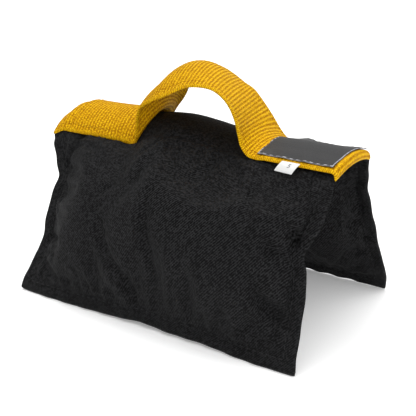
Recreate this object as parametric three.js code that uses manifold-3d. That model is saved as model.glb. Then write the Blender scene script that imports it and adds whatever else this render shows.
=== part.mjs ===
// A saddle sandbag for weighting light stands: two filled pouches that hang from a webbing ridge, with a
// webbing handle that arches over the ridge. It stands on the bottom hems of its pouches, like a tent.
// Millimetres, +Z up, +X along the ridge towards the label. The front pouch is on the -Y side, and the
// origin is on the floor under the middle of the ridge.
import * as THREE from "three";
import Module from "manifold-3d";
import { mergeVertices } from "three/addons/utils/BufferGeometryUtils.js";

const wasm = await Module();
wasm.setup();

// ---- Driving dimensions ----
const BAG_LENGTH = 200; // end to end along the ridge, over the turned-down webbing end
const WEB_WIDTH = 50.8; // two-inch webbing
const WEB_THICKNESS = 1.6;
const CLOTH = 1; // one layer of the woven nylon cover
const GAP = 0.3; // between pieces that touch on the real bag
const RIDGE_TOP = 108; // top of the cover cloth on the crown of the ridge
const RIDGE_HALF_ANGLE = THREE.MathUtils.degToRad(48); // how far the webbing wraps over the crown
const FOOT_Y = 63.5; // from the middle to each pouch's bottom hem
const SIDE_WAIST = 7; // how far each side hem pulls in halfway down a filled pouch
const HEM = 8; // width of the flat topstitched hem
const BULGE_OUT = 22; // half thickness of a filled pouch, from its hem's plane outwards
const BULGE_IN = 18; // and inwards
const LINER_FILM = 0.6;
const LINER_INSET = 0.8; // from the cover cloth to the liner
const THREAD_RADIUS = 0.4;
const THREAD_GAP = 0.5; // between a thread and the layer under it
const LABEL_LENGTH = 46.5;
const LABEL_WIDTH = 44;
const LABEL_THICKNESS = 0.6;
const TAG_WIDTH = 10.6;
const TAG_LENGTH = 7;
const TAG_THICKNESS = 0.5;
const TAG_X = 69.5; // its middle along the ridge
const TAG_DOWN = 3; // its sewn edge, down from the fold line
const TAG_ROOM = 0.8; // between the tag and the pouch
const HANDLE_HEIGHT = 36; // of the arch's top over the cover
const ARCH_HALF_ANGLE = THREE.MathUtils.degToRad(22); // half the strap's cross curve at the top of the arch
const ARCH_SKEW = 0.3; // how far the arch's top stands skew to the ridge
const ARCH_START = -30; // the free part of the handle, above where its legs are stiff
const ARCH_END = 31;
const FOOT_START = -85; // the sewn end of the handle's left foot
const BASE_WEB_END = -40; // where the webbing under that foot stops
const LABEL_START = 50.5;
const LABEL_MARGIN = 2.5; // from the label's edge to its stitching
const EDGE_STITCH = 4; // from the webbing's edge to its stitching

// ---- Worked out from them ----
const RIDGE_RADIUS = WEB_WIDTH / 2 / RIDGE_HALF_ANGLE;
const FOLD_Y = RIDGE_RADIUS * Math.sin(RIDGE_HALF_ANGLE);
const FOLD_Z = RIDGE_TOP - RIDGE_RADIUS * (1 - Math.cos(RIDGE_HALF_ANGLE));
const LEAN = Math.atan2(FOOT_Y - FOLD_Y, FOLD_Z); // of a pouch, from upright
const POUCH_LENGTH = FOLD_Z / Math.cos(LEAN); // down the slope, from the fold line to the floor
const FOLD_CLEARANCE = 2; // from the fold line to the cloth on each side of it, so that the pouch can swing
const CLOTH_HALF_LENGTH = BAG_LENGTH / 2 - WEB_THICKNESS - GAP;
const BASE_WEB_LAYER = GAP; // height of each layer's underside over the cover cloth
const TOP_WEB_LAYER = BASE_WEB_LAYER + WEB_THICKNESS + GAP;
const LABEL_LAYER = TOP_WEB_LAYER;
const LINING_LAYER = -CLOTH - GAP - CLOTH;

// ---- Finishes ----
const nylon = new THREE.MeshStandardMaterial({ color: 0x1d1e20, roughness: 0.9, metalness: 0 });
const webbing = new THREE.MeshStandardMaterial({ color: 0xeea51c, roughness: 0.8, metalness: 0 });
const labelCloth = new THREE.MeshStandardMaterial({ color: 0x3c3d40, roughness: 0.6, metalness: 0 });
const tagCloth = new THREE.MeshStandardMaterial({ color: 0xefefed, roughness: 0.7, metalness: 0 });
const blackThread = new THREE.MeshStandardMaterial({ color: 0x2b2c2e, roughness: 0.7, metalness: 0 });
const yellowThread = new THREE.MeshStandardMaterial({ color: 0xd9920f, roughness: 0.7, metalness: 0 });
const greyThread = new THREE.MeshStandardMaterial({ color: 0xc9c9c9, roughness: 0.7, metalness: 0 });
const film = new THREE.MeshStandardMaterial({ color: 0xdfe3e6, roughness: 0.35, metalness: 0 });
const tiePlastic = new THREE.MeshStandardMaterial({ color: 0xf2f2ee, roughness: 0.5, metalness: 0 });
const shot = new THREE.MeshStandardMaterial({ color: 0x6f7073, roughness: 0.5, metalness: 0.8 });

function piece(name, geometry, material) {
  const mesh = new THREE.Mesh(geometry, material);
  mesh.name = name;
  return mesh;
}

// Moves every vertex of a closed geometry to the place that the given function returns for it.
function shaped(geometry, place) {
  const position = geometry.getAttribute("position");
  for (let i = 0; i < position.count; i++) {
    const moved = place(position.getX(i), position.getY(i), position.getZ(i));
    position.setXYZ(i, moved.x, moved.y, moved.z);
  }
  geometry.computeVertexNormals();
  return geometry;
}

// ---- Joining and cutting ----
function toSolid(geometry) {
  const bare = geometry.clone();
  bare.deleteAttribute("normal");
  bare.deleteAttribute("uv");
  const merged = mergeVertices(bare, 1e-4);
  return new wasm.Manifold(
    new wasm.Mesh({
      numProp: 3,
      vertProperties: merged.getAttribute("position").array,
      triVerts: new Uint32Array(merged.getIndex().array),
    }),
  );
}

function toGeometry(solid) {
  const mesh = solid.getMesh();
  const geometry = new THREE.BufferGeometry();
  geometry.setAttribute("position", new THREE.BufferAttribute(mesh.vertProperties, 3));
  geometry.setIndex(new THREE.BufferAttribute(mesh.triVerts, 1));
  geometry.computeVertexNormals();
  return geometry;
}

// ---- The ridge ----
const RIDGE_STRIPS = 11; // flat strips round a layer; an odd number leaves a level one on the crown
const LEVEL = new THREE.Vector3(1, 0, 0);

// A point on the ridge: x along it, arc millimetres round it from the crown, and a height over the cover.
function ridgePoint(x, arc, height) {
  const angle = arc / RIDGE_RADIUS;
  const radius = RIDGE_RADIUS + height;
  return new THREE.Vector3(
    x,
    radius * Math.sin(angle),
    RIDGE_TOP - RIDGE_RADIUS + radius * Math.cos(angle),
  );
}

// A layer wrapped over the ridge.
function ridgeLayer(startX, endX, halfArc, bottom, thickness) {
  return shaped(new THREE.BoxGeometry(1, 2, 1, 1, RIDGE_STRIPS, 1), (x, across, up) =>
    ridgePoint(
      THREE.MathUtils.lerp(startX, endX, x + 0.5),
      across * halfArc,
      bottom + (up + 0.5) * thickness,
    ),
  );
}

// ---- The handle strap ----
// Its middle line as x and height over the cover, from its left foot to where it ends on the right.
const LEFT_FOOT_HEIGHT = TOP_WEB_LAYER + WEB_THICKNESS / 2;
const RIGHT_FOOT_HEIGHT = BASE_WEB_LAYER + WEB_THICKNESS / 2;
const strapLine = new THREE.CatmullRomCurve3(
  [
    [FOOT_START, LEFT_FOOT_HEIGHT],
    [-72, LEFT_FOOT_HEIGHT],
    [-60, LEFT_FOOT_HEIGHT],
    [-53, LEFT_FOOT_HEIGHT + 1.5],
    [-44, 10],
    [-35, 20],
    [-22, 31],
    [-2, HANDLE_HEIGHT],
    [18, 32],
    [31, 22],
    [38, 10],
    [44, RIGHT_FOOT_HEIGHT + 1.5],
    [49, RIGHT_FOOT_HEIGHT],
    [58, RIGHT_FOOT_HEIGHT],
    [76, RIGHT_FOOT_HEIGHT],
    [CLOTH_HALF_LENGTH, RIGHT_FOOT_HEIGHT],
  ].map(([x, height]) => new THREE.Vector3(x, 0, RIDGE_TOP + height)),
  false,
  "centripetal",
);

// The whole strap. Its cross curve follows the ridge at the feet and opens out over the arch, whose top
// stands a little skew to the ridge. The shares are of the strap's length.
function strap() {
  const steps = 60;
  return shaped(new THREE.BoxGeometry(1, 2, WEB_THICKNESS, steps, RIDGE_STRIPS, 1), (u, v, up) => {
    const share = u + 0.5;
    const footHeight = share < 0.5 ? LEFT_FOOT_HEIGHT : RIGHT_FOOT_HEIGHT;
    const middle = strapLine.getPointAt(share);
    middle.z = Math.max(middle.z, RIDGE_TOP + footHeight);
    const tangent = middle.z > RIDGE_TOP + footHeight + 0.3 ? strapLine.getTangentAt(share) : LEVEL;
    const opening = THREE.MathUtils.smoothstep(share, 0.2, 0.6);
    const closing = THREE.MathUtils.smoothstep(share, 0.64, 0.76);
    const footCurve = 1 / (RIDGE_RADIUS + footHeight);
    const archCurve = ARCH_HALF_ANGLE / (WEB_WIDTH / 2);
    const radius = 1 / THREE.MathUtils.lerp(footCurve, archCurve, opening * (1 - closing));
    const angle = (v * (WEB_WIDTH / 2 - GAP)) / radius;
    const drop = radius - (radius + up) * Math.cos(angle);
    const side = (radius + up) * Math.sin(angle);
    const skewing = THREE.MathUtils.smoothstep(share, 0.35, 0.55);
    const straightening = THREE.MathUtils.smoothstep(share, 0.58, 0.74);
    const skew = ARCH_SKEW * skewing * (1 - straightening);
    return new THREE.Vector3(
      middle.x + tangent.z * drop - skew * side,
      side,
      middle.z - tangent.x * drop,
    );
  });
}

// The part of the strap between two places along the ridge, cut square to it.
const wholeStrap = toSolid(strap());
function strapBetween(startX, endX) {
  const block = new THREE.BoxGeometry(endX - startX, 2 * WEB_WIDTH, 4 * HANDLE_HEIGHT);
  block.translate((startX + endX) / 2, 0, RIDGE_TOP + HANDLE_HEIGHT / 2);
  return toGeometry(wholeStrap.intersect(toSolid(block)));
}

// ---- Thread: a fine tube along hand-placed points ----
function thread(points, steps) {
  const section = new THREE.Shape();
  section.absarc(0, 0, THREAD_RADIUS, 0, 2 * Math.PI);
  return new THREE.ExtrudeGeometry(section, {
    steps,
    curveSegments: 3,
    extrudePath: new THREE.CatmullRomCurve3(points, false, "centripetal"),
  });
}

// A rectangle of stitching on the ridge, left open by a stitch where the thread starts and ends.
function ridgeStitching(startX, endX, halfArc, height) {
  const corners = [
    [startX, halfArc],
    [endX, halfArc],
    [endX, -halfArc],
    [startX, -halfArc],
    [startX, halfArc - 3],
  ];
  const points = [];
  corners.slice(0, -1).forEach(([x, arc], i) => {
    const [nextX, nextArc] = corners[i + 1];
    for (let k = 0; k < 6; k++) {
      const share = k / 6;
      points.push(
        ridgePoint(
          THREE.MathUtils.lerp(x, nextX, share),
          THREE.MathUtils.lerp(arc, nextArc, share),
          height,
        ),
      );
    }
  });
  points.push(ridgePoint(startX, halfArc - 3, height));
  return thread(points, 40);
}

// A straight row of stitching along one edge of the webbing.
function edgeStitching(startX, endX, arc, height) {
  return thread([ridgePoint(startX, arc, height), ridgePoint(endX, arc, height)], 1);
}

// ---- A pouch, in its own plane: x along the ridge, y down the slope from the fold line, z outwards ----
function halfWidth(down) {
  return CLOTH_HALF_LENGTH - SIDE_WAIST * Math.sin((Math.PI * down) / POUCH_LENGTH);
}

// Half the filled pouch's thickness at a point of its plane.
function bulge(x, down, depth) {
  const across = Math.min(Math.abs(x) / (halfWidth(down) - HEM), 1);
  const filledLength = POUCH_LENGTH - HEM - FOLD_CLEARANCE;
  const along = THREE.MathUtils.clamp((down - FOLD_CLEARANCE) / filledLength, 0, 1);
  const acrossShape = Math.pow(1 - Math.pow(across, 2.4), 0.6);
  const alongShape = Math.pow(Math.max(Math.sin(Math.PI * Math.pow(along, 1.25)), 0), 0.6);
  return depth * acrossShape * alongShape;
}

// The pouch's grid: columns counted from the middle, and rows counted down from the fold line. The last
// column on each side and the last row cover the hem.
const COLUMNS = 8;
const ROWS = 13;

function rowDown(row) {
  const filledRows = ROWS - 1;
  const filledLength = POUCH_LENGTH - HEM - FOLD_CLEARANCE;
  return row > filledRows ? POUCH_LENGTH : FOLD_CLEARANCE + (filledLength * row) / filledRows;
}

function columnX(column, down) {
  const filledColumns = COLUMNS - 1;
  const width = halfWidth(down);
  return Math.abs(column) > filledColumns
    ? Math.sign(column) * width
    : ((width - HEM) * column) / filledColumns;
}

// The outer (side 1) or inner (side -1) cloth of a pouch. Its hem is turned under, so it is double there,
// and its bottom edge is cut level with the floor.
function panel(side) {
  const depth = side > 0 ? BULGE_OUT : BULGE_IN;
  const slope = Math.tan(LEAN);
  return shaped(new THREE.BoxGeometry(2 * COLUMNS, ROWS, 1, 2 * COLUMNS, ROWS, 1), (u, v, up) => {
    const row = Math.round(v + ROWS / 2);
    const column = Math.round(u);
    const down = rowDown(row);
    const x = columnX(column, down);
    const inHem = Math.abs(column) >= COLUMNS - 1 || row >= ROWS - 1;
    const thickness = up * side > 0 ? (inHem ? 2 : 1) * CLOTH : 0;
    const height = side * (bulge(x, down, depth) + GAP / 2 + thickness);
    const level = row === ROWS ? height * slope : 0;
    return new THREE.Vector3(x, down + level, height);
  });
}

// The space inside a pouch, less an inset all round.
function pillow(inset) {
  const columns = COLUMNS - 2;
  const firstRow = 3;
  const lastRow = ROWS - 2;
  const rows = lastRow - firstRow;
  return shaped(new THREE.BoxGeometry(2 * columns, rows, 2, 2 * columns, rows, 1), (u, v, up) => {
    const fromMiddle = v / (rows / 2);
    const down = rowDown(Math.round(v + rows / 2) + firstRow) - fromMiddle * inset;
    const x = columnX(Math.round(u), down) - (u / columns) * inset;
    const depth = up > 0 ? BULGE_OUT : BULGE_IN;
    return new THREE.Vector3(x, down, up * (bulge(x, down, depth) - inset));
  });
}

const NECK_RADIUS = 4; // outside, of the liner's gathered neck
const NECK_TOP = 10; // down from the fold line
const NECK_BOTTOM = 30; // inside the filled part
const TIE_DOWN = 16;
const TIE_WIDTH = 2.5;
const TIE_THICKNESS = 1.1;

function neckRod(radius, from, to) {
  const length = to - from;
  return new THREE.CylinderGeometry(radius, radius, length, 16).translate(0, from + length / 2, 0);
}

// A thin film bag round the shot, gathered to a neck that is open at its top.
function linerBag() {
  const outside = toSolid(pillow(LINER_INSET)).add(toSolid(neckRod(NECK_RADIUS, NECK_TOP, NECK_BOTTOM)));
  const inside = toSolid(pillow(LINER_INSET + LINER_FILM)).add(
    toSolid(neckRod(NECK_RADIUS - LINER_FILM * 2, NECK_TOP - 1, NECK_BOTTOM)),
  );
  return toGeometry(outside.subtract(inside));
}

// A cable tie: a band round the neck, and its head.
function linerTie() {
  const inner = NECK_RADIUS + GAP;
  const outer = inner + TIE_THICKNESS;
  const band = new THREE.LatheGeometry(
    [
      new THREE.Vector2(inner, 0),
      new THREE.Vector2(outer, 0),
      new THREE.Vector2(outer, TIE_WIDTH),
      new THREE.Vector2(inner, TIE_WIDTH),
      new THREE.Vector2(inner, 0),
    ],
    20,
  ).translate(0, TIE_DOWN, 0);
  const head = new THREE.BoxGeometry(3.4, 4, 4).translate(outer + 1.2, TIE_DOWN + TIE_WIDTH / 2, 0);
  return toGeometry(toSolid(band).add(toSolid(head)));
}

// The row of topstitching down one side, along the bottom and up the other side, on the outer hem.
function topstitching() {
  const inset = HEM - 2;
  const height = GAP / 2 + 2 * CLOTH + THREAD_GAP + THREAD_RADIUS;
  const top = 6;
  const bottom = POUCH_LENGTH - inset;
  const bend = 3;
  const side = [];
  for (let k = 0; k <= 8; k++) {
    const down = THREE.MathUtils.lerp(top, bottom - bend, k / 8);
    side.push([halfWidth(down) - inset, down]);
  }
  const corner = halfWidth(bottom) - inset;
  const half = [
    ...side,
    [corner - 0.3 * bend, bottom - 0.3 * bend],
    [corner - bend, bottom],
    [corner / 2, bottom],
  ];
  const left = half.map(([x, down]) => new THREE.Vector3(-x, down, height));
  const right = half.map(([x, down]) => new THREE.Vector3(x, down, height)).reverse();
  return thread([...left, ...right], 56);
}

// A pouch with all it holds, built as the rear one. The front one is the same, turned half round.
function pouch(name) {
  const plane = new THREE.Group();
  plane.position.set(0, FOLD_Y, FOLD_Z);
  plane.rotation.x = LEAN - Math.PI / 2;
  plane.add(
    piece(`${name}_outer_panel`, panel(1), nylon),
    piece(`${name}_inner_panel`, panel(-1), nylon),
    piece(`${name}_liner_bag`, linerBag(), film),
    piece(`${name}_liner_tie`, linerTie(), tiePlastic),
    piece(`${name}_shot_fill`, pillow(LINER_INSET + LINER_FILM + GAP), shot),
    piece(`${name}_topstitching`, topstitching(), blackThread),
  );
  const turned = new THREE.Group();
  turned.add(plane);
  return turned;
}

// The folded weight tag, sewn in under the webbing's front edge and lying on the front pouch.
function weightTag() {
  return shaped(new THREE.BoxGeometry(TAG_WIDTH, TAG_LENGTH, TAG_THICKNESS), (u, v, up) => {
    const x = u - TAG_X;
    const down = TAG_DOWN + TAG_LENGTH / 2 + v;
    const height = bulge(x, down, BULGE_OUT) + CLOTH + TAG_ROOM + TAG_THICKNESS / 2;
    return new THREE.Vector3(x, down, height + up);
  });
}

// ---- The assembly ----
const group = new THREE.Group();
const coverHalfArc = WEB_WIDTH / 2 - FOLD_CLEARANCE;
const webHalfArc = WEB_WIDTH / 2 - GAP;
const leftEnd = -BAG_LENGTH / 2;
const rightEnd = BAG_LENGTH / 2;
const endTurnDepth = BASE_WEB_LAYER + WEB_THICKNESS - LINING_LAYER;
const besideLabel = LABEL_WIDTH / 2 + 1.6;
// Of a thread, over the underside of the layer that it holds.
const threadHeight = WEB_THICKNESS + THREAD_GAP + THREAD_RADIUS;

group.add(
  piece(
    "ridge_cover",
    ridgeLayer(-CLOTH_HALF_LENGTH, CLOTH_HALF_LENGTH, coverHalfArc, -CLOTH, CLOTH),
    nylon,
  ),
  piece(
    "ridge_lining",
    ridgeLayer(-CLOTH_HALF_LENGTH, CLOTH_HALF_LENGTH, coverHalfArc, LINING_LAYER, CLOTH),
    nylon,
  ),
  piece(
    "ridge_webbing",
    ridgeLayer(leftEnd, BASE_WEB_END, webHalfArc, BASE_WEB_LAYER, WEB_THICKNESS),
    webbing,
  ),
  piece("handle_left_foot", strapBetween(leftEnd, ARCH_START - GAP), webbing),
  piece("handle_arch", strapBetween(ARCH_START, ARCH_END), webbing),
  piece("handle_right_foot", strapBetween(ARCH_END + GAP, rightEnd), webbing),
  piece(
    "webbing_end_turn",
    ridgeLayer(rightEnd - WEB_THICKNESS, rightEnd, webHalfArc, LINING_LAYER, endTurnDepth),
    webbing,
  ),
  piece(
    "woven_label",
    ridgeLayer(LABEL_START, LABEL_START + LABEL_LENGTH, LABEL_WIDTH / 2, LABEL_LAYER, LABEL_THICKNESS),
    labelCloth,
  ),
  piece(
    "label_stitching",
    ridgeStitching(
      LABEL_START + LABEL_MARGIN,
      LABEL_START + LABEL_LENGTH - LABEL_MARGIN,
      LABEL_WIDTH / 2 - LABEL_MARGIN,
      LABEL_LAYER + LABEL_THICKNESS + THREAD_GAP + THREAD_RADIUS,
    ),
    greyThread,
  ),
  piece(
    "handle_foot_stitching",
    ridgeStitching(FOOT_START + 5, FOOT_START + 27, webHalfArc - EDGE_STITCH, TOP_WEB_LAYER + threadHeight),
    yellowThread,
  ),
);

for (const [side, sign] of [["front", -1], ["rear", 1]]) {
  const arc = sign * (webHalfArc - EDGE_STITCH);
  group.add(
    piece(
      `left_edge_stitching_${side}`,
      edgeStitching(leftEnd + 2, FOOT_START - 1, arc, BASE_WEB_LAYER + threadHeight),
      yellowThread,
    ),
    piece(
      `right_edge_stitching_${side}`,
      edgeStitching(LABEL_START + 2, rightEnd - 3, sign * besideLabel, BASE_WEB_LAYER + threadHeight),
      yellowThread,
    ),
  );
}

const rearPouch = pouch("rear");
const frontPouch = pouch("front");
frontPouch.rotation.z = Math.PI;
frontPouch.children[0].add(piece("weight_tag", weightTag(), tagCloth));
group.add(rearPouch, frontPouch);

export default group;
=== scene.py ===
"""A saddle sandbag for lighting stands: two shot-filled nylon pouches hung over a ridge, with one webbing
strap for its handle.

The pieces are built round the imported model. Shapes are worked out in millimetres and made in metres.
Run as a script, it makes the whole scene.
"""

import bmesh
import bpy
import numpy as np
from bpy.props import FloatProperty, FloatVectorProperty, PointerProperty
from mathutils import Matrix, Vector


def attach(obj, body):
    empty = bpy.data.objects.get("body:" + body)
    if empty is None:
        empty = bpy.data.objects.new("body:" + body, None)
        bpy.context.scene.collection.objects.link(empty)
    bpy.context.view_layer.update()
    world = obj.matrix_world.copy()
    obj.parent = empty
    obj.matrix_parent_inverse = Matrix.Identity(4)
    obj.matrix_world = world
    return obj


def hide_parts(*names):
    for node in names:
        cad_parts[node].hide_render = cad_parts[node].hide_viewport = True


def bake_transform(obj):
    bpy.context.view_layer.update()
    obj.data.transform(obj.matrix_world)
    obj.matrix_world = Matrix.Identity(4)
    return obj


bl_info = {
    "name": "Saddle sandbag",
    "version": (1, 0, 0),
    "blender": (4, 5, 0),
    "location": "View3D > Sidebar > Sandbag",
    "description": "Builds a saddle sandbag piece by piece round its packed model",
    "category": "Add Mesh",
}

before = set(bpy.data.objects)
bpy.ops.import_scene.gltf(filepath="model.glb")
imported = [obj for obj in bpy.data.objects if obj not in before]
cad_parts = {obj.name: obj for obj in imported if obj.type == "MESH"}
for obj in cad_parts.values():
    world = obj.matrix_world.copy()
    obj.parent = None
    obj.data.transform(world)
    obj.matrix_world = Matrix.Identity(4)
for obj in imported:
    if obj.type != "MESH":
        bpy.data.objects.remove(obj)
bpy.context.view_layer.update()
MM = 0.001
FLAT_UNIT = 100  # millimetres of cloth to one unit of its flat map
LABEL_START = 49.6  # the label's left end along the ridge, in millimetres
LABEL_LENGTH = 47.2
LABEL_HALF = 22.0  # half its width


# ---- Sizes and colours that a user may change ----
class SandbagSizes(bpy.types.PropertyGroup):
    """Sizes of the sandbag's cloth, webbing and thread"""

    webbing_width: FloatProperty(
        name="Webbing width", description="Across the strap", default=0.0508, unit="LENGTH"
    )
    webbing_thickness: FloatProperty(
        name="Webbing thickness", description="Of one layer", default=0.0016, unit="LENGTH"
    )
    rib_pitch: FloatProperty(
        name="Rib pitch", description="Between the webbing's ribs", default=0.0022, unit="LENGTH"
    )
    rib_depth: FloatProperty(
        name="Rib depth", description="Height of a rib", default=0.00018, unit="LENGTH"
    )
    hem_width: FloatProperty(
        name="Hem width", description="Flat hem round a pouch", default=0.0078, unit="LENGTH"
    )
    fill_outward: FloatProperty(
        name="Outward fill",
        description="How far a pouch stands out from its hem",
        default=0.0185,
        unit="LENGTH",
    )
    fill_inward: FloatProperty(
        name="Inward fill",
        description="How far a pouch stands in towards the saddle",
        default=0.0155,
        unit="LENGTH",
    )
    cloth_slack: FloatProperty(
        name="Cloth slack", description="Share by which the cover is cut larger than its fill", default=0.045
    )
    stitch_length: FloatProperty(
        name="Stitch length", description="Of one stitch", default=0.0029, unit="LENGTH"
    )
    stitch_pitch: FloatProperty(
        name="Stitch pitch", description="From stitch to stitch", default=0.0041, unit="LENGTH"
    )


class SandbagColours(bpy.types.PropertyGroup):
    """Colours of the sandbag's finishes"""

    nylon: FloatVectorProperty(
        name="Nylon", description="Cover cloth", subtype="COLOR", default=(0.0040, 0.0040, 0.0042)
    )
    webbing: FloatVectorProperty(
        name="Webbing", description="Face yarns", subtype="COLOR", default=(0.76, 0.42, 0.003)
    )
    # Painted shade between the webbing's yarns and ribs. The same colour also tints the random soil patches.
    webbing_groove_shade_and_soil: FloatVectorProperty(
        name="Webbing shade", description="Between the yarns", subtype="COLOR", default=(0.33, 0.135, 0.0005)
    )
    label: FloatVectorProperty(
        name="Label", description="Label ground", subtype="COLOR", default=(0.015, 0.015, 0.016)
    )
    tag: FloatVectorProperty(
        name="Tag", description="Weight tag", subtype="COLOR", default=(0.84, 0.84, 0.83)
    )


# ---- Materials ----
class Wire:
    """An output in a material's node tree. Arithmetic on it adds Math nodes, and node() adds others."""

    def __init__(self, tree, socket=None):
        self.tree = tree
        self.socket = socket

    def node(self, kind, settings=None, sockets=None, out=0):
        """Adds a node with its settings, joins or sets its sockets, and returns one of its outputs."""
        made = self.tree.nodes.new(kind)
        for name, value in (settings or {}).items():
            setattr(made, name, value)
        for key, value in (sockets or {}).items():
            if isinstance(value, Wire):
                self.tree.links.new(value.socket, made.inputs[key])
            else:
                made.inputs[key].default_value = value
        return Wire(self.tree, made.outputs[out]) if len(made.outputs) else None

    def maths(self, operation, *values):
        """A Math node on values and sockets."""
        return self.node("ShaderNodeMath", {"operation": operation}, dict(enumerate(values)))

    def __add__(self, other):
        return self.maths("ADD", self, other)

    __radd__ = __add__

    def __mul__(self, other):
        return self.maths("MULTIPLY", self, other)

    __rmul__ = __mul__

    def __sub__(self, other):
        return self.maths("SUBTRACT", self, other)

    def __rsub__(self, other):
        return self.maths("SUBTRACT", other, self)

    def wave(self):
        """The sine of a phase in turns, as 0 to 1."""
        return self.maths("SINE", self * (2 * np.pi)) * 0.5 + 0.5

    def step(self, start, end):
        """0 below start and 1 above end, with a smooth rise."""
        return self.node(
            "ShaderNodeMapRange",
            {"interpolation_type": "SMOOTHSTEP"},
            {"Value": self, "From Min": start, "From Max": end},
        )

    def mix(self, first, second):
        """The colour first where this is 0 and second where it is 1."""
        return self.node(
            "ShaderNodeMix",
            {"data_type": "RGBA"},
            {
                0: self,
                6: first if isinstance(first, Wire) else (*first, 1),
                7: second if isinstance(second, Wire) else (*second, 1),
            },
            out=2,
        )

    def bump(self, strength, distance):
        """A normal raised by this height, by a distance in metres."""
        return self.node("ShaderNodeBump", None, {"Strength": strength, "Distance": distance, "Height": self})

    def place(self):
        """The object's own coordinates."""
        return self.node("ShaderNodeTexCoord", out=3)

    def noise(self, scale, detail=2.0):
        """Noise at a scale, over the object's own coordinates."""
        sockets = {"Vector": self.place(), "Scale": scale, "Detail": detail}
        return self.node("ShaderNodeTexNoise", None, sockets)

    def parts(self):
        """The three numbers of a vector."""
        split = self.tree.nodes.new("ShaderNodeSeparateXYZ")
        self.tree.links.new(self.socket, split.inputs[0])
        return [Wire(self.tree, socket) for socket in split.outputs]

    def cloth_coordinates(self):
        """Across and along the cloth, in millimetres, from its own flat map."""
        across, along, _ = self.node("ShaderNodeUVMap", {"uv_map": "cloth"}).parts()
        return across * FLAT_UNIT, along * FLAT_UNIT


def shaded(colour, by):
    """A colour made lighter or darker."""
    return [min(1.0, c * by) for c in colour]


def finish(name, build, **fixed):
    """A material. Its varying sockets come from build(wire), and its fixed ones are set on the shader."""
    material = bpy.data.materials.new(name)
    material.use_nodes = True
    tree = material.node_tree
    tree.nodes.clear()
    wire = Wire(tree)
    sockets = {key.replace("_", " "): value for key, value in fixed.items()}
    sockets.update(build(wire))
    shader = wire.node("ShaderNodeBsdfPrincipled", None, sockets)
    wire.node("ShaderNodeOutputMaterial", None, {"Surface": shader})
    return material


def nylon_finish():
    """Black pack cloth: a diagonal twill of fine yarns, a little dusty and shiny along its folds."""
    colour = bpy.context.scene.sandbag_colours.nylon

    def build(wire):
        across, along = wire.cloth_coordinates()
        drift = wire.noise(90.0, 2.0) * 0.5
        twill = ((across + along) * (1 / 1.5) + drift * 0.7).wave()
        warp = (across * (1 / 0.62)).wave()
        weft = (along * (1 / 0.62)).wave()
        yarns = warp * weft
        grain = wire.noise(760.0, 1.0).step(0.34, 0.68)
        height = twill * 0.62 + yarns * 0.38
        cloud = wire.noise(14.0, 4.0).step(0.3, 0.75)
        lint = wire.noise(1100.0, 1.0).step(0.62, 0.76)
        tone = twill * 0.5 + grain * 0.5
        ground = tone.step(0.22, 0.8).mix(shaded(colour, 0.05), shaded(colour, 5.0))
        clouded = (cloud * 0.3).mix(ground, shaded(colour, 2.2))
        dusty = (lint * 0.3).mix(clouded, (0.07, 0.07, 0.072))
        return {"Base Color": dusty, "Roughness": 0.62 + twill * 0.16, "Normal": height.bump(0.75, 0.0003)}

    return finish("black_nylon", build, Sheen_Weight=0.01, Sheen_Roughness=0.5, Specular_IOR_Level=0.07)


def webbing_finish():
    """Golden webbing: ribs across the strap, each a row of plump yarn beads, with a tighter selvage. Shade is
    painted into the hollows between the ribs and beads and along the groove, highlights are painted on the
    beads, and random soil patches darken it.
    """
    colours = bpy.context.scene.sandbag_colours
    sizes = bpy.context.scene.sandbag_sizes
    pitch = sizes.rib_pitch / MM
    half = sizes.webbing_width / MM / 2
    face, groove_shade_and_soil = colours.webbing, colours.webbing_groove_shade_and_soil

    def build(wire):
        across, along = wire.cloth_coordinates()
        wobble = wire.noise(160.0, 2.0) * 0.55
        rib = (along * (1 / pitch) + 0.25 + wobble * 0.22).wave()
        row = wire.maths("FLOOR", along * (1 / pitch) + 0.5)
        shift = wire.maths("MODULO", row, 2.0) * 0.5
        bead = (across * (1 / 1.62) + shift + wobble * 0.5).wave()
        fibre = (across * (1 / 0.31) + along * (1 / 0.9) + wobble).wave()
        edge = wire.maths("ABSOLUTE", across)
        selvage = edge.step(half - 2.3, half - 1.7)
        groove = 1 - wire.maths("ABSOLUTE", edge - (half - 4.6)).step(0.15, 0.6)
        cord = (along * (2 / pitch) + wobble * 0.3).wave()
        body = (rib * 0.28 + rib * bead * 0.72) * (1 - selvage) + cord * selvage
        height = body * 0.86 + fibre * 0.14 - groove * 0.25
        # Specks of painted glint on the yarns.
        painted_glints = wire.noise(950.0, 1.0).step(0.4, 0.62)
        # Painted shade: darker where the bump's height sinks, between ribs and beads and in the groove. It is
        # lighter on the glint specks.
        tone = (height * 0.95 + painted_glints * 0.42 - 0.12).step(-0.1, 0.85)
        yarn_with_painted_shade = tone.mix(groove_shade_and_soil, face)
        # Painted highlights: the bead tops under the glint specks turn a brighter, whiter gold.
        painted_highlight = (body * painted_glints).step(0.25, 0.8) * 0.5
        with_painted_highlights = painted_highlight.mix(yarn_with_painted_shade, [min(1.0, c * s) for c, s in zip(face, (1.15, 1.5, 5.0))])
        # Random soil patches, darkened towards the painted shade's colour.
        soil = wire.noise(28.0, 3.0).step(0.45, 0.8) * 0.16
        soil_and_painted_light = soil.mix(with_painted_highlights, groove_shade_and_soil)
        return {"Base Color": soil_and_painted_light, "Roughness": 0.7 - body * 0.2, "Normal": height.bump(0.9, 0.00038)}

    return finish("golden_webbing", build, Specular_IOR_Level=0.05)


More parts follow.
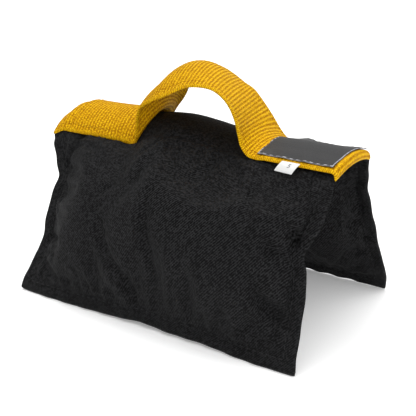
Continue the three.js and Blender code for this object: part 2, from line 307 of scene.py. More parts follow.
def label_finish():
    """A dark satin label with a fine woven border line, painted sheen in lighter patches, and no lettering.
    """
    colour = bpy.context.scene.sandbag_colours.label

    def build(wire):
        across, along = wire.cloth_coordinates()
        from_side = LABEL_HALF - wire.maths("ABSOLUTE", across)
        from_end = LABEL_LENGTH / 2 - wire.maths("ABSOLUTE", along)
        inside = wire.maths("MINIMUM", from_side, from_end)
        border = 1 - wire.maths("ABSOLUTE", inside - 0.45).step(0.2, 0.42)
        broken = wire.noise(520.0, 1.0).step(0.36, 0.5)
        rows = (along * (1 / 0.42)).wave()
        satin = (across * (1 / 0.30) + along * (1 / 1.3)).wave()
        weave = rows * 0.6 + satin * 0.4
        ground = weave.mix(shaded(colour, 0.5), shaded(colour, 1.5))
        # Painted sheen: random patches of the ground turn much lighter, as if catching the light.
        painted_sheen = wire.noise(42.0, 3.0).step(0.5, 0.75) * 0.35
        soil_and_painted_light = painted_sheen.mix(ground, shaded(colour, 5.0))
        marked = (border * (0.4 + broken * 0.4)).mix(soil_and_painted_light, (0.5, 0.5, 0.53))
        bump = (weave + border * 0.5).bump(0.5, 0.00015)
        return {"Base Color": marked, "Roughness": 0.44 + rows * 0.14, "Normal": bump}

    fixed = {"Sheen_Weight": 0.02, "Sheen_Roughness": 0.4, "Specular_IOR_Level": 0.32}
    return finish("woven_label_satin", build, **fixed)


def tag_finish():
    """White satin ribbon."""
    colour = bpy.context.scene.sandbag_colours.tag

    def build(wire):
        across, along = wire.cloth_coordinates()
        weave = (along * (1 / 0.34)).wave() * 0.6 + (across * (1 / 0.4)).wave() * 0.4
        ground = weave.mix(shaded(colour, 0.86), colour)
        grime = (wire.noise(160.0, 3.0).step(0.55, 0.85) * 0.12).mix(ground, (0.5, 0.48, 0.45))
        return {"Base Color": grime, "Roughness": 0.42 + weave * 0.12, "Normal": weave.bump(0.35, 0.0001)}

    return finish("tag_ribbon", build, Sheen_Weight=0.1)


def thread_finish(name, colour):
    """Twisted sewing thread."""

    def build(wire):
        x, y, z = wire.place().parts()
        twist = ((x + y + z) * 2600.0 + wire.noise(300.0) * 0.6).wave()
        tone = twist.mix(shaded(colour, 0.55), shaded(colour, 1.35))
        return {"Base Color": tone, "Roughness": 0.5 + twist * 0.15, "Normal": twist.bump(0.6, 0.00012)}

    return finish(name, build, Specular_IOR_Level=0.12)


def ink_finish():
    """Grey printing ink on the tag."""

    def build(wire):
        patch = wire.noise(2600.0, 2.0).step(0.3, 0.7)
        ink = patch.mix((0.09, 0.09, 0.1), (0.2, 0.2, 0.21))
        return {"Base Color": ink, "Roughness": 0.6 + patch * 0.1}

    return finish("tag_ink", build)


def film_finish():
    """Milky plastic film, crinkled."""

    def build(wire):
        feature = {"feature": "DISTANCE_TO_EDGE"}
        crease = wire.node("ShaderNodeTexVoronoi", feature, {"Vector": wire.place(), "Scale": 120.0})
        folds = crease.step(0.0, 0.12)
        haze = wire.noise(60.0, 4.0)
        milky = haze.mix((0.62, 0.65, 0.68), (0.86, 0.87, 0.88))
        bump = (folds + haze * 0.5).bump(0.5, 0.0004)
        return {"Base Color": milky, "Roughness": 0.3 + haze * 0.2, "Normal": bump}

    return finish("liner_film", build, Coat_Weight=0.2)


def tie_finish():
    """Moulded nylon of a cable tie, faintly toothed."""

    def build(wire):
        bands = {"Vector": wire.place(), "Scale": 320.0, "Distortion": 0.4}
        teeth = wire.node("ShaderNodeTexWave", {"wave_type": "BANDS"}, bands)
        cast = wire.noise(400.0, 3.0)
        nylon = cast.mix((0.78, 0.78, 0.74), (0.9, 0.9, 0.87))
        bump = (teeth + cast * 0.3).bump(0.4, 0.00012)
        return {"Base Color": nylon, "Roughness": 0.4 + cast * 0.15, "Normal": bump}

    return finish("tie_nylon", build)


def shot_finish():
    """Round steel shot, packed close, with a touch of rust and shade painted into the gaps between the balls.
    """

    def build(wire):
        balls = wire.node("ShaderNodeTexVoronoi", {"feature": "F1"}, {"Vector": wire.place(), "Scale": 620.0})
        round_top = 1 - balls.step(0.0, 0.62)
        rust = wire.noise(240.0, 3.0).step(0.55, 0.8)
        # Painted shade: the steel turns near black towards each ball's edge, in the gaps between the balls.
        steel = round_top.mix((0.05, 0.05, 0.052), (0.42, 0.42, 0.43))
        return {
            "Base Color": (rust * 0.3).mix(steel, (0.20, 0.08, 0.03)),
            "Metallic": 0.85 - rust * 0.5,
            "Roughness": 0.34 + rust * 0.3,
            "Normal": round_top.bump(1.0, 0.0006),
        }

    return finish("steel_shot", build)


def floor_finish():
    """A plain pale floor that glows faintly: painted light that lifts the shadows on it and lights the
    sandbag from below.
    """

    def build(wire):
        mottle = wire.noise(3.0, 2.0)
        pale = mottle.mix((0.90, 0.90, 0.90), (0.93, 0.93, 0.93))
        return {"Base Color": pale, "Roughness": 0.75 + mottle * 0.05}

    # Painted light: a faint glow, though the floor is no lamp, which lifts its shadows and lights the sandbag
    # from below.
    fixed = {"Specular_IOR_Level": 0.2, "Emission_Color": (1, 1, 1, 1), "Emission_Strength": 0.2}
    return finish("glowing_pale_floor", build, **fixed)


FINISHES = {}


def finish_named(name):
    """Each finish is made once, when it is first asked for."""
    colours = bpy.context.scene.sandbag_colours
    makers = {
        "nylon": nylon_finish,
        "webbing": webbing_finish,
        "label": label_finish,
        "tag": tag_finish,
        "ink": ink_finish,
        "black_thread": lambda: thread_finish("black_thread", (0.019, 0.019, 0.020)),
        "yellow_thread": lambda: thread_finish("yellow_thread", [c * 0.8 for c in colours.webbing]),
        "grey_thread": lambda: thread_finish("grey_thread", (0.055, 0.055, 0.058)),
        "film": film_finish,
        "tie": tie_finish,
        "shot": shot_finish,
        "floor": floor_finish,
    }
    if name not in FINISHES:
        FINISHES[name] = makers[name]()
    return FINISHES[name]


# ---- The ridge, in millimetres ----
RIDGE_TOP = 108.0  # the cover cloth's top on the crown
LAP_START = 9.0  # the rear cover tucks under the front one behind the crown
LAP_END = 18.0
COVER_LAYERS = 2.3  # cover and lining together
BASE_LAYER = 0.3  # the underside of each layer over the cover cloth
TOP_LAYER = 2.2
FOLD_ARC = 23.4  # where the cloth leaves the ridge
WRAP = 25.4  # half the webbing's width, the arc that turns through the ridge's bend


def ramp(value, start, end):
    """0 before start, 1 after end, smooth between."""
    t = np.clip((np.asarray(value, float) - start) / (end - start), 0, 1)
    return t * t * (3 - 2 * t)


def ridge_bend(x):
    """How far the ridge wraps over to each side, in radians. It is sharp at the left and nearly flat at
    the right."""
    x = np.asarray(x, float)
    left = 65 - 17 * ramp(-x, 88, 100) + 15 * np.exp(-(((x + 39) / 14) ** 2)) - 19 * ramp(x, -38, -8)
    return np.radians(left - 22 * ramp(x, -5, 52))


def ridge_crown(x):
    """The cover stands up a little under the handle, and droops at its empty left end."""
    x = np.asarray(x, float)
    raised = 1.3 - 2.8 * ramp(x, 5, 50) + 4.8 * np.exp(-(((x + 14) / 30) ** 2))
    return RIDGE_TOP + raised - 6.0 * ramp(-x, 90, 100)


def ridge_point(x, arc, height):
    """A point on the ridge: x along it, arc round it from the crown (rear positive), and height over the
    cover. Under the handle's right foot the ridge is dented behind and flatter in front."""
    x, arc, height = np.broadcast_arrays(*(np.asarray(v, float) for v in (x, arc, height)))
    radius = WRAP / ridge_bend(x)
    angle = arc / radius
    hollow = 3.2 * np.exp(-(((x - 50) / 13) ** 2)) + 1.2 * ramp(x, 60, 72) * (1 - ramp(x, 84, 97))
    dent = hollow * ramp(arc, 4, 20)
    flat = 1.6 * ramp(x, 42, 56) * ramp(-arc, 8, 24)
    middle = ridge_crown(x) - radius - dent + flat
    return np.stack([x, (radius + height) * np.sin(angle), middle + (radius + height) * np.cos(angle)], -1)


# ---- Meshes from grids of points ----
def metres(value):
    """Millimetres as metres, to the micrometre."""
    return round(value * MM, 6)


def grid_faces(rows, columns, start=0, turned=False):
    """Quads of a grid of points, as index rows."""
    at = start + np.arange(rows * columns).reshape(rows, columns)
    quads = np.stack([at[:-1, :-1], at[:-1, 1:], at[1:, 1:], at[1:, :-1]], -1).reshape(-1, 4)
    return quads[:, ::-1] if turned else quads


def border(rows, columns):
    """The indices round a grid's edge, once round."""
    at = np.arange(rows * columns).reshape(rows, columns)
    return np.concatenate([at[0, :-1], at[:-1, -1], at[-1, :0:-1], at[:0:-1, 0]])


def shell(name, outer, inner, flat_map, rim=0.5):
    """A closed mesh of an outer and an inner grid with a rounded rim. flat_map holds the cloth's own
    coordinates in millimetres. The points are in millimetres too."""
    rows, columns = outer.shape[:2]
    count = rows * columns
    edge = border(rows, columns)
    top, bottom = outer.reshape(-1, 3), inner.reshape(-1, 3)
    middle = (top[edge] + bottom[edge]) / 2
    inside = np.clip(edge // columns, 1, rows - 2) * columns + np.clip(edge % columns, 1, columns - 2)
    away = middle - (top[inside] + bottom[inside]) / 2
    away /= np.linalg.norm(away, axis=1, keepdims=True) + 1e-9
    thick = np.linalg.norm(top[edge] - bottom[edge], axis=1, keepdims=True)
    ring = middle + away * thick * rim
    points = np.concatenate([top, bottom, ring])
    forward = np.roll(edge, -1)
    ring_at = 2 * count + np.arange(len(edge))
    ring_next = np.roll(ring_at, -1)
    rim_over = np.stack([edge, ring_at, ring_next, forward], -1)
    rim_under = np.stack([ring_at, edge + count, forward + count, ring_next], -1)
    sheets = [grid_faces(rows, columns), grid_faces(rows, columns, count, True)]
    faces = np.concatenate([*sheets, rim_over, rim_under])
    mesh = bpy.data.meshes.new(name)
    mesh.from_pydata((points * MM).tolist(), [], faces.tolist())
    flat = flat_map.reshape(-1, 2)
    flats = np.concatenate([flat, flat, flat[edge] + 0.3]) / FLAT_UNIT
    layer = mesh.uv_layers.new(name="cloth")
    corner = np.zeros(len(mesh.loops), np.int32)
    mesh.loops.foreach_get("vertex_index", corner)
    layer.data.foreach_set("uv", flats[corner].astype(np.float32).ravel())
    mesh.polygons.foreach_set("use_smooth", np.ones(len(mesh.polygons), bool))
    piece = bpy.data.objects.new(name, mesh)
    bpy.context.scene.collection.objects.link(piece)
    point_outwards(piece)
    return piece


def point_outwards(piece):
    """Turns a closed piece's faces outwards."""
    made = bmesh.new()
    made.from_mesh(piece.data)
    bmesh.ops.recalc_face_normals(made, faces=made.faces)
    if made.calc_volume(signed=True) < 0:
        bmesh.ops.reverse_faces(made, faces=made.faces)
    made.to_mesh(piece.data)
    made.free()


def grid_normals(points):
    """Unit normals of a grid of points."""
    down = np.gradient(points, axis=0)
    side = np.gradient(points, axis=1)
    normal = np.cross(side, down)
    return normal / (np.linalg.norm(normal, axis=-1, keepdims=True) + 1e-9)


def refined(points):
    """A grid with a point added between each two, on a smooth curve through them."""

    def halved(p):
        padded = np.concatenate([2 * p[:1] - p[1:2], p, 2 * p[-1:] - p[-2:-1]])
        between = (9 * (padded[1:-2] + padded[2:-1]) - padded[:-3] - padded[3:]) / 16
        made = np.empty((2 * len(p) - 1, *p.shape[1:]))
        made[::2] = p
        made[1::2] = between
        return made

    return np.swapaxes(halved(np.swapaxes(halved(points), 0, 1)), 0, 1)


def dress(piece, name, body=None):
    """Gives a piece its finish and its slot, and rides it on a body."""
    piece.data.materials.clear()
    piece.data.materials.append(finish_named(name))
    if body:
        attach(piece, body)
    return piece


# ---- The pouches ----
PANEL = 107.0  # down the slope, from the fold line to the hem
SLOPE = 107.9  # the same, to the floor
RIDGE_LEFT, RIDGE_RIGHT = -98.8, 97.3  # the ends of the cloth on the ridge
HEM_INSET = 6.0  # of the topstitching, from the hem's edge
LEAST_HEIGHT = 0.4  # over the floor, for the cloth before it is creased and sewn
SLOPE_OUT, SLOPE_TOP = 23.0, 100.0  # where the slope starts, out from the middle and over the floor
FLARE = 40.5  # how much further out it ends
FOLD_STIFFNESS = 26.0  # how long the panel keeps the ridge's direction
HEM_LAYERS = 1.15  # half the thickness of the flat hem

# Outlines in millimetres from the fold line: the sides as (down, x) and the hems as (x, down).
FRONT_LEFT = [
    (0, -99.6), (8, -98.6), (16, -96.6), (25, -93.6), (33, -89.7), (40, -86.6), (49, -88.2),
    (58, -89.8), (66, -89.5), (74, -89.0), (82, -90.0), (91, -94.2), (99, -96.4), (107, -98.3),
]
FRONT_RIGHT = [
    (0, 98.2), (8, 98.8), (16, 99.2), (25, 99.1), (33, 98.7), (41, 97.3), (49, 93.6),
    (55, 90.3), (58, 91), (61, 93.4), (66, 95), (74, 96), (82, 96.6), (91, 96.9),
    (99, 97.5), (107, 98.4),
]
FRONT_HEM = [
    (-98, 106), (-88.6, 107.6), (-71.4, 107.2), (-46.6, 106.2), (-19.7, 105.2), (-3, 103.6), (16, 104.9),
    (42, 104.8), (64, 106.5), (76, 107.5), (92, 107.6), (98, 107),
]
REAR_RIGHT = [
    (0, 98.4), (8, 97.2), (16, 95.8), (25, 94.9), (33, 93.9), (41, 92.7), (49, 93.3),
    (58, 94.3), (66, 95.3), (74, 96.2), (82, 97), (91, 99.5), (99, 99.6), (107, 98.6),
]
REAR_LEFT = [
    (0, -97), (12, -94.6), (25, -91.4), (38, -90.2), (55, -91.6), (70, -91.2), (84, -93.8),
    (107, -98),
]
REAR_HEM = [
    (-98, 106.4), (-60, 107.3), (-20, 106), (25, 106.9), (42, 107.6), (68, 106.2), (85, 107),
    (98, 107.4),
]
OUTLINES = {-1: (FRONT_LEFT, FRONT_RIGHT, FRONT_HEM), 1: (REAR_LEFT, REAR_RIGHT, REAR_HEM)}


def through(points, places):
    """A softened line through the points, read at the places."""
    known = np.array(points, float)
    fine = np.linspace(known[0, 0], known[-1, 0], 400)
    value = np.interp(fine, known[:, 0], known[:, 1])
    window = np.hanning(19)
    window = window[1:-1] / window.sum()
    padded = np.pad(value, len(window) // 2, mode="reflect", reflect_type="odd")
    return np.interp(places, fine, np.convolve(padded, window, "valid"))


def facing(points, other):
    """Unit normals of a grid of points, turned away from another grid."""
    normal = grid_normals(points)
    return normal * np.sign((normal * (points - other)).sum(-1, keepdims=True))


class Pouch:
    """One pouch and its half of the ridge: grids of its outer and inner cloth, and each point's place."""

    columns = 95
    panel_rows = 52
    settling_frames = 20
    furthest = 6.0  # that a point of the cloth may move as it settles

    def __init__(self, side):
        """side is -1 for the front and 1 for the rear."""
        self.side = side
        start = -LAP_END if side < 0 else LAP_START
        arcs = np.arange(start, FOLD_ARC - 0.5, 2.0)[:, None]
        share = np.linspace(0, 1, self.columns + 1)[None, :]
        down = np.linspace(0, 1, self.panel_rows + 1)[1:, None]
        left, right, hem = OUTLINES[side]
        low, high = through(left, down * PANEL), through(right, down * PANEL)
        ridge_x = share * (RIDGE_RIGHT - RIDGE_LEFT) + RIDGE_LEFT + 0 * arcs
        panel_x = low + (high - low) * share
        width = (high - low) / 2
        self.ridge_rows = len(arcs)
        self.x = np.concatenate([ridge_x, panel_x])
        self.down = np.concatenate([arcs - FOLD_ARC + 0 * ridge_x, down * PANEL + 0 * panel_x])
        from_side = 1 - 2 * np.abs(share - 0.5)
        edge = np.minimum(from_side * width, (1 - down) * PANEL)
        self.from_edge = np.concatenate([from_side * 98 + 0 * ridge_x, edge])
        ridge = ridge_point(ridge_x, side * arcs, 0)
        middle = np.concatenate([ridge, self.panel(panel_x, down, ridge_x[-1], through(hem, panel_x[-1]))])
        normal = np.cross(np.gradient(middle, axis=0), [1.0, 0, 0]) * -side
        normal /= np.linalg.norm(normal, axis=-1, keepdims=True)
        out_height, in_height = self.fullness(share, down, width, ridge_x)
        self.outer = middle + normal * out_height[..., None]
        self.inner = middle - normal * in_height[..., None]
        self.lift()

    def panel(self, panel_x, down, fold_x, hem_down):
        """The middle of the panel's thickness. It leaves the ridge on its bend and straightens to the hem."""
        hem_y = SLOPE_OUT + FLARE * hem_down / SLOPE
        hem_z = np.maximum(SLOPE_TOP * (1 - hem_down / SLOPE), 1.3)
        radius = WRAP / ridge_bend(fold_x)
        angle = FOLD_ARC / radius
        fold_y = radius * np.sin(angle)
        fold_z = ridge_crown(fold_x) - radius * (1 - np.cos(angle))
        fall = np.hypot(hem_y - fold_y, hem_z - fold_z)
        lean = np.arctan2(fold_z - hem_z, hem_y - fold_y)
        t = down
        from_fold, fold_pull = 2 * t**3 - 3 * t**2 + 1, t**3 - 2 * t**2 + t
        to_hem, hem_pull = 3 * t**2 - 2 * t**3, t**3 - t**2
        out = from_fold * fold_y + fold_pull * FOLD_STIFFNESS * np.cos(angle) + to_hem * hem_y
        out = out + hem_pull * fall * np.cos(lean)
        high = from_fold * fold_z - fold_pull * FOLD_STIFFNESS * np.sin(angle) + to_hem * hem_z
        high = high - hem_pull * fall * np.sin(lean)
        return np.stack([panel_x, self.side * out, high], -1)

    def fullness(self, share, down, width, ridge_x):
        """How far the outer and inner cloth stand from the middle. The hem's and ridge's points are held."""
        sizes = bpy.context.scene.sandbag_sizes
        hem_width = sizes.hem_width / MM
        across = np.abs(share - 0.5) * 2 * width / (width - hem_width)
        along = down * PANEL / (PANEL - hem_width)
        fill = np.clip(1 - np.clip(across, 0, 1) ** 2.6, 0, 1) ** 0.62
        fill = fill * np.sin(np.pi * np.clip(along, 0, 1) ** 1.40) ** 0.66
        fill = np.concatenate([np.zeros_like(ridge_x), fill])
        on_hem = (across >= 0.995) | (along >= 0.995) | (down * PANEL < 3)
        self.held = np.concatenate([np.ones_like(ridge_x, bool), on_hem])
        crown = 1 - ramp(self.down, 0, 16)
        if self.side < 0:
            lap = 1 - ramp(self.down + FOLD_ARC, -LAP_START - 1.5, -LAP_START)
            over, under = 0.15 * lap, COVER_LAYERS - 1.55 * lap
        else:
            lap = 1 - ramp(self.down + FOLD_ARC, LAP_END, LAP_END + 1.5)
            over, under = -lap, COVER_LAYERS
        hem = HEM_LAYERS * (1 - crown)
        out_height = over * crown + (fill * sizes.fill_outward / MM + hem)
        in_height = under * crown + (fill * sizes.fill_inward / MM + hem)
        return out_height, in_height

    def lift(self):
        """Raises both cloths clear of the floor."""
        for grid in (self.outer, self.inner):
            grid[..., 2] = np.maximum(grid[..., 2], LEAST_HEIGHT)

    def flat_map(self):
        """Each point's place on the flat cloth."""
        return np.stack([self.x, self.down], -1)

    def settle(self):
        """Lets the cloth fill out and crease under the shot's pressure, with its hem and ridge held."""
        trial = shell("pouch_trial", self.outer, self.inner, self.flat_map())
        count = self.outer[..., 0].size
        held = np.concatenate([self.held.ravel(), self.held.ravel()])
        pinned = trial.vertex_groups.new(name="held")
        rim = range(2 * count, len(trial.data.vertices))
        pinned.add([int(i) for i in np.flatnonzero(held)] + list(rim), 1.0, "REPLACE")
        cloth = trial.modifiers.new("cloth", "CLOTH")
        cloth.point_cache.frame_start = 1
        cloth.point_cache.frame_end = self.settling_frames
        set_to = cloth.settings
        set_to.quality = 6
        set_to.mass = 0.3
        set_to.tension_stiffness = 18
        set_to.compression_stiffness = 12
        set_to.shear_stiffness = 6
        set_to.bending_stiffness = 0.6
        set_to.vertex_group_mass = "held"
        set_to.shrink_min = -bpy.context.scene.sandbag_sizes.cloth_slack
        set_to.use_pressure = True
        set_to.uniform_pressure_force = 4.0
        set_to.effector_weights.gravity = 0.0
        cloth.collision_settings.use_collision = False
        scene = bpy.context.scene
        for number in range(self.settling_frames):
            scene.frame_set(number + 1)
        seen = trial.evaluated_get(bpy.context.evaluated_depsgraph_get())
        placed = np.zeros(len(seen.data.vertices) * 3, np.float32)
        seen.data.vertices.foreach_get("co", placed)
        placed = placed.reshape(-1, 3).astype(float) / MM
        for grid, part in ((self.outer, placed[:count]), (self.inner, placed[count : 2 * count])):
            moved = part.reshape(grid.shape) - grid
            far = np.linalg.norm(moved, axis=-1, keepdims=True)
            grid += moved * (self.furthest * np.tanh(far / self.furthest) / (far + 1e-9))
        self.lift()
        mesh = trial.data
        bpy.data.objects.remove(trial)
        bpy.data.meshes.remove(mesh)
        scene.frame_set(1)

    def refine(self):
        """Doubles the grids' points each way."""
        for name in ("outer", "inner"):
            setattr(self, name, refined(getattr(self, name)))
        for name in ("x", "down", "from_edge"):
            setattr(self, name, refined(getattr(self, name)[..., None])[..., 0])
        self.ridge_rows = 2 * self.ridge_rows

    def crease(self, grid, line, depth, width, lip=0.45):
        """Presses a fold into the outer or inner cloth along a line of (x, down) points, with a raised lip
        beside it."""
        points = getattr(self, grid)
        normal = facing(points, self.inner if grid == "outer" else self.outer)
        here = np.stack([self.x, self.down], -1)
        nearest = np.full(self.x.shape, 1e9)
        signed = np.zeros(self.x.shape)
        fade = np.zeros(self.x.shape)
        line = np.array(line, float)
        lengths = np.linalg.norm(np.diff(line, axis=0), axis=1)
        total, run = lengths.sum(), 0.0
        for start, end, length in zip(line[:-1], line[1:], lengths):
            along = (end - start) / length
            t = np.clip(((here - start) @ along) / length, 0, 1)
            gap = here - (start + t[..., None] * (end - start))
            far = np.linalg.norm(gap, axis=-1)
            closer = far < nearest
            nearest = np.where(closer, far, nearest)
            side = np.sign(gap @ np.array([-along[1], along[0]]))
            signed = np.where(closer, far * side, signed)
            place = (run + t * length) / total
            fade = np.where(closer, np.sin(np.pi * np.clip(0.08 + 0.84 * place, 0, 1)), fade)
            run += length
        raised = np.exp(-(((signed - 1.9 * width) / (1.2 * width)) ** 2))
        shape = lip * raised - np.exp(-((nearest / width) ** 2))
        strength = fade * ramp(self.from_edge, 1.5, 9)
        setattr(self, grid, points + normal * (shape * strength * depth)[..., None])

    def sew(self):
        """Presses the hem's stitch line and folded edge into both cloths, with small puckers running in
        from them."""
        phase = self.x * (2 * np.pi / 8.3) + 0.9 * np.sin(self.down * 0.31)
        down_phase = self.down * (2 * np.pi / 9.1) + 0.8 * np.sin(self.x * 0.27)
        beside = np.where(np.abs(self.x) > 82, down_phase, phase)
        on_panel = ramp(self.down, 1, 7)
        pucker = 0.42 * np.sin(beside) * np.exp(-(((self.from_edge - 10.5) / 4.5) ** 2))
        groove = -0.38 * np.exp(-(((self.from_edge - HEM_INSET) / 0.9) ** 2))
        fold = 0.26 * ramp(self.from_edge, 3.4, 3.9) * (1 - ramp(self.from_edge, 8, 9))
        edge_wave = 0.5 * np.sin(beside * 0.55 + 1.3) * (1 - ramp(self.from_edge, 3, 8))
        for grid, other in (("outer", "inner"), ("inner", "outer")):
            points = getattr(self, grid)
            normal = facing(points, getattr(self, other))
            wave = edge_wave * (1 if grid == "outer" else -1)
            height = (pucker + groove + fold + wave) * on_panel
            setattr(self, grid, points + normal * height[..., None])

    def surface(self, grid, column, row):
        """A point and the outward normal of the cloth at a fraction of the way through the grid."""
        points = getattr(self, grid)
        other = self.inner if grid == "outer" else self.outer
        row = np.clip(row, 0, points.shape[0] - 1.001)
        column = np.clip(column, 0, points.shape[1] - 1.001)
        i, j = int(row), int(column)
        a, b = row - i, column - j
        cell = points[i : i + 2, j : j + 2]
        upper = cell[0, 0] * (1 - a) * (1 - b) + cell[0, 1] * (1 - a) * b
        point = upper + cell[1, 0] * a * (1 - b) + cell[1, 1] * a * b
        normal = np.cross(cell[0, 1] - cell[0, 0], cell[1, 0] - cell[0, 0])
        normal /= np.linalg.norm(normal) + 1e-9
        if normal @ (point - other[i, j]) < 0:
            normal = -normal
        return point, normal

    def hem_line(self, grid):
        """Points and normals down one side, along the hem and up the other, on the stitch line."""
        rows, columns = self.x.shape
        first = self.ridge_rows + 4
        last = rows - 1 - HEM_INSET / (PANEL / (2 * self.panel_rows))
        width = self.x[:, -1] - self.x[:, 0]
        side = HEM_INSET / 196
        places = [(HEM_INSET / width[int(row)], row) for row in np.arange(first, last, 0.5)]
        places += [(share, last) for share in np.linspace(side, 1 - side, 380)]
        places += [(1 - HEM_INSET / width[int(row)], row) for row in np.arange(last, first, -0.5)]
        return [self.surface(grid, share * (columns - 1), row) for share, row in places]


POUCHES = {}


def pouch_named(name):
    """The front or rear pouch's grids, settled and creased once."""
    if name in POUCHES:
        return POUCHES[name]
    pouch = Pouch(-1 if name == "front" else 1)
    pouch.settle()
    pouch.refine()
    for grid, line, depth, width in CREASES[name]:
        pouch.crease(grid, line, depth, width)
    pouch.sew()
    POUCHES[name] = pouch
    return pouch


# Folds as (cloth, line of (x, down) points, depth, width), in millimetres.
CREASES = {
    "front": [
        ("outer", [(22, -8), (27, 8), (26, 18), (20, 30)], 2.0, 2.6),
        ("outer", [(37, 10), (44, 18), (50, 30)], 1.6, 3.0),
        ("outer", [(53, 16), (57, 29), (62, 46), (64, 58)], 2.2, 3.0),
        ("outer", [(0, 46), (2, 62), (5, 72), (8, 82), (5, 94)], 2.8, 3.2),
        ("outer", [(-34, 64), (-25, 76), (-15, 86), (-3, 103)], 3.2, 3.6),
        ("outer", [(68, 48), (76, 58), (84, 67)], 1.8, 2.8),
        ("outer", [(60, 62), (72, 75), (83, 84), (95, 86)], 3.4, 3.4),
        ("outer", [(72, 42), (84, 47), (91, 56)], 2.0, 3.2),
        ("outer", [(81, 40), (86, 49), (91, 61)], 1.3, 2.8),
        ("outer", [(-26, 30), (-17, 17), (-8, -3)], 2.2, 3.0),
        ("outer", [(-60, 18), (-50, 32), (-46, 48)], 2.0, 5.0),
        ("outer", [(-8, 22), (-14, 40), (-26, 54)], 2.2, 5.0),
        ("outer", [(-88, 30), (-76, 36), (-62, 36)], 1.8, 3.2),
        ("outer", [(-89, 78), (-78, 74), (-66, 78)], 1.8, 3.2),
        ("outer", [(26, 62), (32, 80), (29, 98)], 1.6, 4.4),
        ("inner", [(-70, 30), (-50, 44), (-20, 48)], 1.8, 4.0),
        ("inner", [(30, 30), (50, 52), (56, 80)], 1.8, 4.0),
        ("inner", [(-50, 96), (-42, 82), (-44, 66)], 1.5, 3.4),
    ],
    "rear": [
        ("inner", [(94, 22), (88, 40), (90, 58)], 2.2, 3.6),
        ("inner", [(82, 30), (86, 52), (80, 76)], 1.8, 3.2),
        ("inner", [(40, 20), (52, 46), (48, 82)], 1.8, 4.4),
        ("inner", [(-30, 30), (-44, 56), (-40, 90)], 1.8, 4.4),
        ("outer", [(70, 14), (60, 34), (62, 56)], 1.6, 3.4),
        ("outer", [(20, 8), (12, 30), (20, 52)], 1.5, 3.6),
        ("outer", [(-20, 50), (-8, 72), (-12, 98)], 1.9, 3.6),
        ("outer", [(-92, 36), (-78, 42), (-60, 40)], 2.0, 3.2),
        ("outer", [(94, 70), (80, 74), (64, 70)], 1.8, 3.2),
        ("outer", [(-66, 98), (-60, 84), (-48, 74)], 1.8, 3.2),
        ("outer", [(-40, 2), (-30, 12), (-28, 26)], 1.4, 3.0),
        ("outer", [(40, 98), (46, 84), (58, 78)], 1.6, 3.0),
    ],
}


class SANDBAG_OT_pouches(bpy.types.Operator):
    """Build both pouches' covers, each with its half of the ridge"""

    bl_idname = "sandbag.pouches"
    bl_label = "Pouch covers"

    def execute(self, context):
        for name, side, ridge_node in (("front", -1, "ridge_cover"), ("rear", 1, "ridge_lining")):
            pouch = pouch_named(name)
            cover = shell(f"{name}_pouch_cover", pouch.outer, pouch.inner, pouch.flat_map())
            dress(cover, "nylon")
            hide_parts(ridge_node, f"{name}_outer_panel", f"{name}_inner_panel")
            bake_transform(cover)
        return {"FINISHED"}


class SANDBAG_OT_fillings(bpy.types.Operator):
    """Build each pouch's film liner and the shot in it, and finish the cable ties"""

    bl_idname = "sandbag.fillings"
    bl_label = "Liners, shot and ties"

    def execute(self, context):
        for name in ("front", "rear"):
            pouch = pouch_named(name)
            rows = slice(pouch.ridge_rows + 26, -9, 2)
            columns = slice(17, -17, 2)
            outer, inner = pouch.outer[rows, columns], pouch.inner[rows, columns]
            flat = pouch.flat_map()[rows, columns]
            through_it = outer - inner
            thick = np.linalg.norm(through_it, axis=-1, keepdims=True)
            through_it /= thick
            centre = (outer + inner).mean((0, 1)) / 2
            for what, node, inset, look, slot in (
                ("liner", "liner_bag", 1.9, "film", "liner_film"),
                ("shot", "shot_fill", 2.7, "shot", "shot"),
            ):
                step = np.minimum(inset, thick * 0.42)
                shrink = 1 - (inset - 1.5) / 80
                near = centre + (outer - through_it * step - centre) * shrink
                far = centre + (inner + through_it * step - centre) * shrink
                bag = shell(f"{name}_{what}", near, far, flat, rim=0.3)
                dress(bag, look, f"{name}_pouch")
                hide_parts(f"{name}_{node}")
            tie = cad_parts[f"{name}_liner_tie"]
            tie.data.materials.clear()
            tie.data.materials.append(finish_named("tie"))
        return {"FINISHED"}


# ---- Webbing ----
def webbing_size():
    """Half the webbing's width and the thickness of one layer, in millimetres."""
    sizes = bpy.context.scene.sandbag_sizes
    return sizes.webbing_width / MM / 2, sizes.webbing_thickness / MM


def webbing_strip(name, line):
    """A strip of webbing with ribs across it and rounded selvages. The line's place(along, across) gives the
    middle of its thickness, along in millimetres of strip and across from -1 to 1."""
    sizes = bpy.context.scene.sandbag_sizes
    pitch = sizes.rib_pitch / MM
    half_thick = sizes.webbing_thickness / MM / 2
    half_width = sizes.webbing_width / MM / 2
    length = line["length"]
    along = np.linspace(0, length, int(length / (pitch / 5)) + 1)[:, None]
    spread = np.linspace(-1, 1, 57)[None, :]
    across = np.sign(spread) * (1 - (1 - np.abs(spread)) ** 1.15)
    middle = line["place"](along + 0 * across, across + 0 * along)
    normal = grid_normals(middle)
    if normal[len(along) // 2, spread.size // 2, 2] < 0:
        normal = -normal
    from_edge = (1 - np.abs(across)) * half_width
    taper = np.sqrt(np.clip(1 - (1 - np.clip(from_edge / 1.1, 0, 1)) ** 2, 0.02, 1))
    rib = np.sin(2 * np.pi * along / pitch) * sizes.rib_depth / MM / 2
    cord = np.sin(4 * np.pi * along / pitch) * 0.12 * (1 - ramp(from_edge, 1.2, 2.4))
    groove = -0.12 * np.exp(-(((from_edge - 4.6) / 0.4) ** 2))
    relief = rib * ramp(from_edge, 0.8, 2.2) + cord + groove
    top = middle + normal * (half_thick * taper + relief)[..., None]
    bottom = middle - normal * (half_thick * taper + relief * 0.8)[..., None]
    flat = np.stack([across * half_width + 0 * along, along + 0 * across], -1)
    return shell(name, top, bottom, flat)


